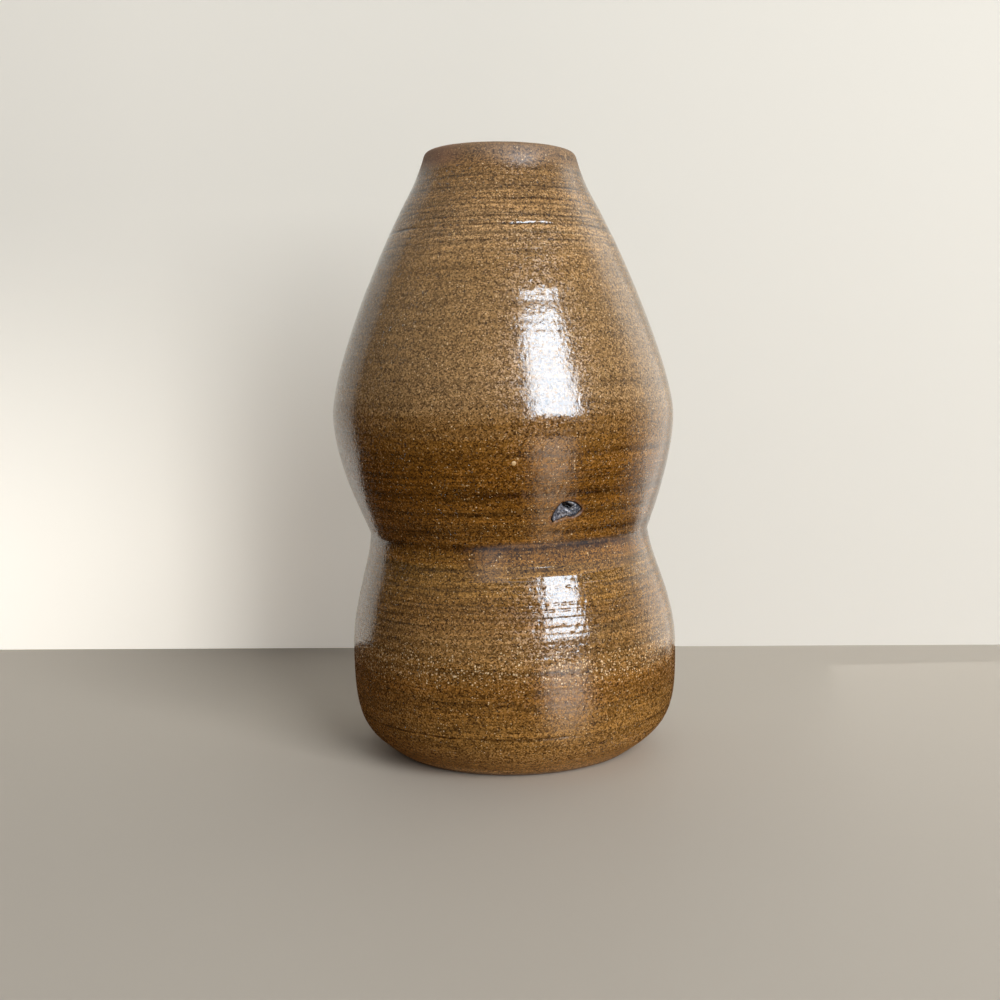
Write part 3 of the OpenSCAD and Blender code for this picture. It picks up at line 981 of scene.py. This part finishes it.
claySettings = {"foot": 0.5, "skin": (2.4, 0.55, 2.4), "inner": 2.4, "columns": 260, "sharp": 35}
clayFoot = underRows(claySettings["foot"])
claySkin = outsideRows(outsideLine(coat, thinned=True), claySettings["skin"], 0.0)
clayInner = insideRows(insideLine(liner), claySettings["inner"], 0.0)
clayBody = throw("clayBody", clayFoot + claySkin + clayInner, claySettings, bareClay)

linerSettings = {"skin": 1.4, "back": 2.8, "columns": 240, "sharp": 50}
linerBack = insideRows(insideLine(liner), linerSettings["back"], 0.0)
linerSkin = insideRows(insideLine(0), linerSettings["skin"], 1.0)
linerCoat = throw("linerCoat", linerBack[::-1] + linerSkin, linerSettings, linerGlaze)

leanNode = next(n for n in throwTree.nodes if n.bl_idname == "ShaderNodeFloatCurve")


def axisAt(height):
    share = min(1.0, max(0.0, height / vaseForm["height"]))
    lean = leanNode.mapping.evaluate(leanNode.mapping.curves[0], share)
    return (lean - 0.5) * 2 * wheelLengths["Axis Reach"]


def onWall(right, up, out):
    # A place by the pit: steps right, up and out from it along the curved wall, in metres
    height = wheelLengths["Pit Height"] + up
    radius = radiusAt(height)
    ahead = radiusAt(height + 0.5) - radiusAt(height - 0.5)
    normal = Vector((1.0, -ahead)).normalized()
    angle = math.radians(wheelAngles["Pit Angle"]) + right / radius
    reach = radius + normal.x * out
    across = axisAt(height) + reach * math.cos(angle)
    return Vector((across, reach * math.sin(angle), height + normal.y * out)) * mm


# The slag: a lump melted into the pit, with its blowhole and a bead on its tail

slagLump = {
    "middle": (0.2, 0.5), "rings": 30, "ringsOutwards": 0.85, "shrink": 0.975,
    "skin": -0.22, "belly": 0.18, "edgeDrop": 0.4, "deep": -3.0, "deepShrink": 0.93,
    "hole": ((-0.75, 2.1), (0.95, 1.25)), "holeRadius": 0.9, "holeDepth": 1.35,
    "bead": (-4.3, -2.6), "beadRadius": 0.45, "beadHeight": 0.4,
    "lumps": 0.28, "lumpsPerMm": 1.25, "lumpSlice": 3.0, "fineLumps": 0.5, "fineTimes": 2.3, "fineSlice": 7.0,
}


def distanceTo(point, start, end):
    a, b, p = Vector(start), Vector(end), Vector(point)
    share = min(1.0, max(0.0, (p - a).dot(b - a) / (b - a).length_squared))
    return (p - a.lerp(b, share)).length


def makeSlag():
    lump = slagLump
    middle = Vector(lump["middle"])
    edge = [middle + (p - middle) * lump["shrink"] for p in pitLine]
    work = bmesh.new()
    sunkLayer, edgeLayer = (work.verts.layers.float.new(name) for name in ("sunk", "edge"))

    def lumpy(spot, slice_, times=1.0):
        return noise.noise(Vector((spot.x, spot.y, slice_)) * lump["lumpsPerMm"] * times)

    def addPoint(spot, share):
        fine = lumpy(spot, lump["fineSlice"], lump["fineTimes"])
        wobble = lumpy(spot, lump["lumpSlice"]) + lump["fineLumps"] * fine
        hole = math.exp(-(distanceTo(spot, *lump["hole"]) / lump["holeRadius"]) ** 3)
        bead = math.exp(-((spot - Vector(lump["bead"])).length / lump["beadRadius"]) ** 4)
        top = lump["skin"] + lump["belly"] * (1 - share ** 2) + lump["lumps"] * wobble
        top += lump["beadHeight"] * bead - lump["edgeDrop"] * share ** 8 * (1 - bead)
        vert = work.verts.new(onWall(spot.x, spot.y, top - lump["holeDepth"] * hole))
        vert[sunkLayer], vert[edgeLayer] = hole, share
        return vert

    centre = addPoint(middle, 0.0)
    loops = []
    for k in range(1, lump["rings"] + 1):
        share = (k / lump["rings"]) ** lump["ringsOutwards"]
        loops.append([addPoint(middle.lerp(p, share), share) for p in edge])
    deep = [work.verts.new(onWall(*middle.lerp(p, lump["deepShrink"]), lump["deep"])) for p in edge]
    for vert in deep:
        vert[edgeLayer] = 1.0
    bottom = work.verts.new(onWall(*middle, lump["deep"]))
    loops.append(deep)
    for j in range(len(edge)):
        after = (j + 1) % len(edge)
        work.faces.new((centre, loops[0][j], loops[0][after]))
        work.faces.new((bottom, deep[after], deep[j]))
        for inner, outer in zip(loops, loops[1:]):
            work.faces.new((inner[j], outer[j], outer[after], inner[after]))
    mesh = bpy.data.meshes.new("ironSlag")
    work.to_mesh(mesh)
    work.free()
    mesh.materials.append(slagSkin)
    return closeUp(newObject("ironSlag", mesh))


ironSlag = makeSlag()


# Pale grains: the coarse ones where they lie, and fine grit strewn over the wall

grainPlaces = {
    # Height, degrees round the vase, width in millimetres
    "coarse": (
        (14.2, -63.2, 1.5), (14.0, -61.6, 1.1), (100.7, -87.5, 1.9), (122.4, -116.5, 1.4), (47.4, -89.5, 1.2),
        (75.9, -150.5, 1.4), (170.4, -111.5, 1.2), (160.3, -75.5, 1.2), (143.3, -54.0, 1.4),
        (53.1, -97.5, 1.1), (38.7, -79.0, 1.4), (33.0, 10.0, 1.7), (112.0, 34.0, 2.1), (66.0, 71.0, 1.3),
        (138.0, 96.0, 1.7),
        (24.0, 118.0, 1.9), (94.0, 139.0, 1.4), (156.0, 163.0, 1.3), (48.0, 192.0, 1.7),
        (38.7, -87.5, 1.3), (51.7, -65.5, 1.2), (39.7, -82.0, 1.0), (39.4, -70.0, 1.1), (43.5, -89.5, 0.9),
        (7.3, -38.0, 0.9), (166.2, -84.0, 0.9), (40.2, -58.0, 1.0), (147.4, -87.0, 0.8), (38.2, -94.5, 0.9),
        (178.7, -93.0, 0.9), (30.4, -139.0, 1.3), (12.8, -74.0, 0.8), (12.2, -78.5, 0.6), (11.9, -84.0, 0.7),
        (101.9, -86.2, 1.0), (82.5, -66.3, 0.5), (82.4, -68.2, 0.4), (82.7, -70.6, 0.4), (82.0, -64.9, 0.4),
        (85.5, -62.9, 0.5), (83.1, -72.9, 0.4),
    ),
    "proud": 0.3, "castFrom": 100.0,
    # The tree takes these by name. Grit is per square metre, and Least and Most are its widths
    "lengths": {"Least": 0.24, "Most": 0.5, "From": 4.0, "To": 196.5, "Rough": 0.32,
                "Busy From": 31.0, "Busy To": 43.0, "Busy Rise": 4.0, "Busy Fall": 6.0},
    "shares": {"Grit": 5000.0, "Seed": 7, "Flat": 0.55, "Off Pit": 0.4, "Busy Times": 6.0,
               "Rough Scale": 1300.0},
}


def grainTree():
    tree, given = newGroup("strewGrains", "GeometryNodeTree", {
        "Geometry": "Geometry", "Ground": "Object", "Material": "Material", **grainPlaces["shares"],
        **{name: value * mm for name, value in grainPlaces["lengths"].items()},
    }, {"Geometry": "Geometry"})

    def chance(low, high, step):
        return addNode(tree, "FunctionNodeRandomValue", {2: low, 3: high, "Seed": given["Seed"] + step},
                       data_type="FLOAT")[1]

    spin = chance(0.0, 2 * math.pi, 5)

    def instanced(points, subdivisions, facing, width):
        grain = addNode(tree, "GeometryNodeMeshIcoSphere", {"Radius": 0.5, "Subdivisions": subdivisions})
        upright = grow("FunctionNodeAlignRotationToVector", {"Vector": facing}, axis="Z")
        spun = grow("FunctionNodeEulerToRotation", {0: triple(0.0, 0.0, spin)})
        across = width * chance(0.65, 1.0, 1)
        return grow("GeometryNodeInstanceOnPoints", {
            "Points": points, "Instance": grain, "Scale": triple(width, across, across * given["Flat"]),
            "Rotation": grow("FunctionNodeRotateRotation", {0: upright, 1: spun}, rotation_space="LOCAL")})

    placed = instanced(given["Geometry"], 3, named(tree, "facing", "FLOAT_VECTOR"), named(tree, "width"))

    # Grit is denser in the busy band, and there is none in the pit, at the lip or at the foot
    spot = addNode(tree, "GeometryNodeInputPosition")
    height = parts(spot)["Z"]
    rise = spread(height, given["Busy From"] - given["Busy Rise"], given["Busy From"], smooth=True)
    fall = spread(height, given["Busy To"], given["Busy To"] + given["Busy Fall"], 1.0, 0.0, smooth=True)
    busy = 1.0 + rise * fall * (given["Busy Times"] - 1.0)
    clear = named(tree, "shown") * (named(tree, "pitEdge") < given["Off Pit"] * -1.0)
    density = busy * given["Grit"] * (clear * ((height < given["To"]) * (height > given["From"])))
    strewn = grow("GeometryNodeDistributePointsOnFaces", {
        "Mesh": grow("GeometryNodeObjectInfo", {"Object": given["Ground"]})["Geometry"],
        "Density": density, "Seed": given["Seed"]}, distribute_method="RANDOM")
    width = blendValues(chance(0.0, 1.0, 9) ** 2.0, given["Least"], given["Most"])
    scattered = instanced(strewn["Points"], 1, strewn["Normal"], width)
    both = grow("GeometryNodeJoinGeometry", {0: placed})
    plug(both.node.inputs, {0: scattered})

    # Each coarse grain gets its own rough shape
    made = grow("GeometryNodeRealizeInstances", {"Geometry": both})
    amount = (cloud(spot, given["Rough Scale"], 1.0) - 0.5) * given["Rough"] * named(tree, "chunk")
    push = scaled(addNode(tree, "GeometryNodeInputNormal"), amount)
    made = grow("GeometryNodeSetPosition", {"Geometry": made, "Offset": push})
    return endPiece(tree, made, given["Material"])


def makeGrains():
    grains = grainPlaces
    surface = BVHTree.FromObject(glazeCoat, bpy.context.evaluated_depsgraph_get())
    spots, facings = [], []
    for height, angle, width in grains["coarse"]:
        turn = math.radians(angle)
        outwards = Vector((math.cos(turn), math.sin(turn), 0))
        start = Vector((axisAt(height) * mm, 0, height * mm)) + outwards * grains["castFrom"] * mm
        spot, normal, _, _ = surface.ray_cast(start, -outwards)
        high = width * grains["shares"]["Flat"] / 2
        spots.append(spot - normal * high * (1 - grains["proud"]) * mm)
        facings.append(normal)
    mesh = newMesh("paleGrains", spots)
    pointValues(mesh, "facing", facings)
    pointValues(mesh, "width", [width * mm for _, _, width in grains["coarse"]])
    pointValues(mesh, "chunk", [1.0] * len(spots))
    piece = newObject("paleGrains", mesh)
    runTree(piece, grainTree(), {"Ground": glazeCoat, "Material": grainSkin})
    return closeUp(piece)


paleGrains = makeGrains()
bpy.data.objects.remove(pitOutline)

for piece, node, finish in (
    (glazeCoat, "outer_glaze", "brown_glaze"), (clayBody, "clay_body", "fired_clay"),
    (linerCoat, "liner_glaze", "liner_glaze"), (ironSlag, "iron_slag", "iron_slag"),
    (paleGrains, "pale_grains", "pale_grains"),
):
    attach(piece, "root")
    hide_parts(node)
print("pieces ready")


# The stage: a pale floor and a pale wall behind it, both seen from one side only. In metres

stageSet = {
    "wallLeft": (-0.42, 0.181), "wallRight": (0.4, 0.119), "wallHigh": 0.6,
    "floorReach": 1.2, "floorFront": -1.6, "specular": 0.2,
    "wallColor": (0.86, 0.86, 0.81), "wallRough": 0.8, "floorColor": (0.55, 0.51, 0.45), "floorRough": 0.55,
    "floorUnseen": (0.3, 0.21, 0.145), "floorMirrored": (0.11, 0.05, 0.018),
    "paleBehind": (-0.05, 0.06), "paleFrom": (0.15, 0.25),
    "shineTo": (0.5, -0.866), "shineOff": (0.08, 0.46), "shineAlong": (0.3, 0.6), "shine": (0.3, 0.19, 0.11),
    "shineRough": 0.42,
    "wallGlow": 0.55, "glowColor": (0.88, 0.83, 0.74), "glowAcross": (-0.01, -0.16), "glowUp": (0.03, 0.22),
    "glowLeast": 0.12,
}


def oneSided(name, color, roughness):
    # A plain face that is clear from behind
    material, body, place = newMaterial(name, {
        "Base Color": color, "Roughness": roughness, "Specular IOR Level": stageSet["specular"]}, unit=1.0)
    tree = place.tree
    sides = grow("ShaderNodeMixShader", {
        0: addNode(tree, "ShaderNodeNewGeometry")["Backfacing"],
        1: Wire(tree.nodes["Principled BSDF"].outputs[0]), 2: addNode(tree, "ShaderNodeBsdfTransparent")})
    plug(tree.nodes["Material Output"].inputs, {"Surface": sides})
    rays = addNode(tree, "ShaderNodeLightPath")
    return material, body, parts(place), rays["Is Camera Ray"], rays["Is Glossy Ray"]


def floorMaterial():
    # Pale to the camera, brown in the light it throws back, and a warm shine where the glaze mirrors it
    color, rough = stageSet["floorColor"], stageSet["floorRough"]
    material, body, at, seen, mirrored = oneSided("paleFloor", color, rough)
    ahead = stageSet["shineTo"]
    along, across = (at["X"] * x + at["Y"] * y for x, y in (ahead, (-ahead[1], ahead[0])))
    off = abs(across) / calc("MAXIMUM", along, 0.001)
    shine = (spread(off, *stageSet["shineOff"], 1.0, 0.0, smooth=True)
             * spread(along, *stageSet["shineAlong"], 1.0, 0.0, smooth=True))
    behind = (spread(at["Y"], *stageSet["paleBehind"], smooth=True)
              * spread(at["X"], *stageSet["paleFrom"], smooth=True))
    shown = layered(stageSet["floorMirrored"], (behind, stageSet["wallColor"]), (shine, stageSet["shine"]))
    plug(body, {
        "Base Color": blendColors(mirrored, blendColors(seen, stageSet["floorUnseen"], color), shown),
        "Metallic": mirrored * shine, "Roughness": blendValues(mirrored, rough, stageSet["shineRough"]),
        "Specular IOR Level": blendValues(mirrored, stageSet["specular"], 0.0),
    })
    return material


def wallMaterial():
    # The far left of the wall glows with painted light, so that clear of the shadow it is as bright as its
    # right
    material, body, at, seen, mirrored = oneSided("paleWall", stageSet["wallColor"], stageSet["wallRough"])
    lift = spread(at["X"], *stageSet["glowAcross"]) * spread(
        at["Z"], *stageSet["glowUp"], 1.0, stageSet["glowLeast"], smooth=True)
    shown = calc("ADD", seen, mirrored, clamp=True)
    plug(body, {
        "Emission Color": stageSet["glowColor"], "Emission Strength": lift * shown * stageSet["wallGlow"]})
    material.cycles.emission_sampling = "NONE"
    return material


def stagePlane(name, corners, material):
    mesh = newMesh(name, corners, faces=[(0, 1, 2, 3)])
    mesh.materials.append(material)
    newObject(name, mesh)


wallLeft, wallRight, wallHigh = stageSet["wallLeft"], stageSet["wallRight"], stageSet["wallHigh"]
reach, front = stageSet["floorReach"], stageSet["floorFront"]
slope = (wallRight[1] - wallLeft[1]) / (wallRight[0] - wallLeft[0])
farRight = wallRight[1] + slope * (reach - wallRight[0])
farLeft = wallLeft[1] + slope * (-reach - wallLeft[0])
stagePlane("floor", (
    (-reach, front, 0), (reach, front, 0), (reach, farRight, 0), (-reach, farLeft, 0)), floorMaterial())
stagePlane("wall", (
    (*wallLeft, 0), (*wallRight, 0), (*wallRight, wallHigh), (*wallLeft, wallHigh)), wallMaterial())


# Light: one tall soft window to the right, seen in the glaze as bluer and brighter than it shines,
# a soft lamp behind to the right for the vase's edge, and an even grey room

lights = {
    "window": {"at": (0.891, -1.329, 0.875), "size": (0.93, 1.41), "watts": 33.0,
               "color": (1.0, 0.985, 0.96)},
    "glint": {"at": (0.902, -1.346, 0.882), "size": (0.94, 1.43), "watts": 43.0, "color": (0.56, 0.77, 1.0),
              "diffuse": False},
    "edge": {"at": (0.262, 0.1, 0.215), "size": (0.25, 0.43), "watts": 0.3, "color": (1.0, 0.95, 0.87),
             "diffuse": False, "facing": (0, -1, 0)},
}

# The room by the height of the direction, from straight down to straight up: what lights the vase, and
# what its glaze mirrors, which is dim at the left and glows at the right
roomLook = {
    "light": ((0.0, 0.08), (0.45, 0.12), (0.6, 0.22), (1.0, 0.4)),
    "mirrored": ((0.0, (0.02, 0.01, 0.004)), (0.44, (0.03, 0.016, 0.006)), (0.5, (0.16, 0.09, 0.035)),
                 (0.6, (0.33, 0.22, 0.12)), (0.75, (0.54, 0.4, 0.27)), (0.92, (0.66, 0.5, 0.36))),
    "leftShare": 0.35, "leftFrom": (-0.95, -0.4), "leftUpTo": (0.15, 0.5), "leftLit": (-0.9, 0.3),
    "glow": (1.0, 0.92, 0.8), "glowFrom": (0.35, 0.6), "glowBehind": (-0.05, 0.28),
    "glowAbove": (-0.75, -0.4),
}

for name, settings in lights.items():
    lamp = bpy.data.lights.new(name, "AREA")
    lamp.shape = "RECTANGLE"
    lamp.size, lamp.size_y = settings["size"]
    lamp.energy, lamp.color = settings["watts"], settings["color"]
    holder = newObject(name, lamp)
    holder.location = settings["at"]
    facing = Vector(settings.get("facing", (-holder.location.x, -holder.location.y, 0)))
    holder.rotation_euler = facing.to_track_quat("-Z", "Y").to_euler()
    holder.visible_diffuse = settings.get("diffuse", True)
    holder.visible_camera = False

world = scene.world = bpy.data.worlds.new("room")
world.use_nodes = True
sky = world.node_tree
direction = parts(addNode(sky, "ShaderNodeTexCoord")["Generated"])
sideways, upwards = direction["X"], direction["Z"]
lit, mirrored = (ramp(spread(upwards, -1, 1), roomLook[look]) for look in ("light", "mirrored"))
leftShare = roomLook["leftShare"]
lit = tinted(lit, spread(sideways, *roomLook["leftLit"], leftShare, 1.0))
mirrored = tinted(mirrored, blendValues(
    spread(upwards, *roomLook["leftUpTo"]), spread(sideways, *roomLook["leftFrom"], leftShare, 1.0), 1.0))
glow = (spread(sideways, *roomLook["glowFrom"], smooth=True)
        * spread(upwards, *roomLook["glowAbove"], smooth=True)
        * spread(direction["Y"], *roomLook["glowBehind"], smooth=True))
mirrored = blendColors(glow, mirrored, roomLook["glow"], "LIGHTEN")
plug(sky.nodes["Background"].inputs, {
    "Color": blendColors(addNode(sky, "ShaderNodeLightPath")["Is Glossy Ray"], lit, mirrored)})


# The camera of the photograph, a close view from a little above the middle, rolled by a degree

cameraSet = {
    "at": (-0.00265, -0.43697, 0.12894), "pitch": -5.861, "roll": 1.225, "lens": 46.2, "sensor": 36.0,
}


def makeCamera():
    data = bpy.data.cameras.new("camera")
    data.lens, data.sensor_width = cameraSet["lens"], cameraSet["sensor"]
    camera = newObject("camera", data)
    pitched = Matrix.Rotation(math.radians(90 + cameraSet["pitch"]), 4, "X")
    rolled = Matrix.Rotation(math.radians(-cameraSet["roll"]), 4, "Z")
    camera.matrix_world = Matrix.Translation(cameraSet["at"]) @ pitched @ rolled
    scene.camera = camera


makeCamera()
scene.view_settings.view_transform = "Standard"
print("stage, lights and camera ready")
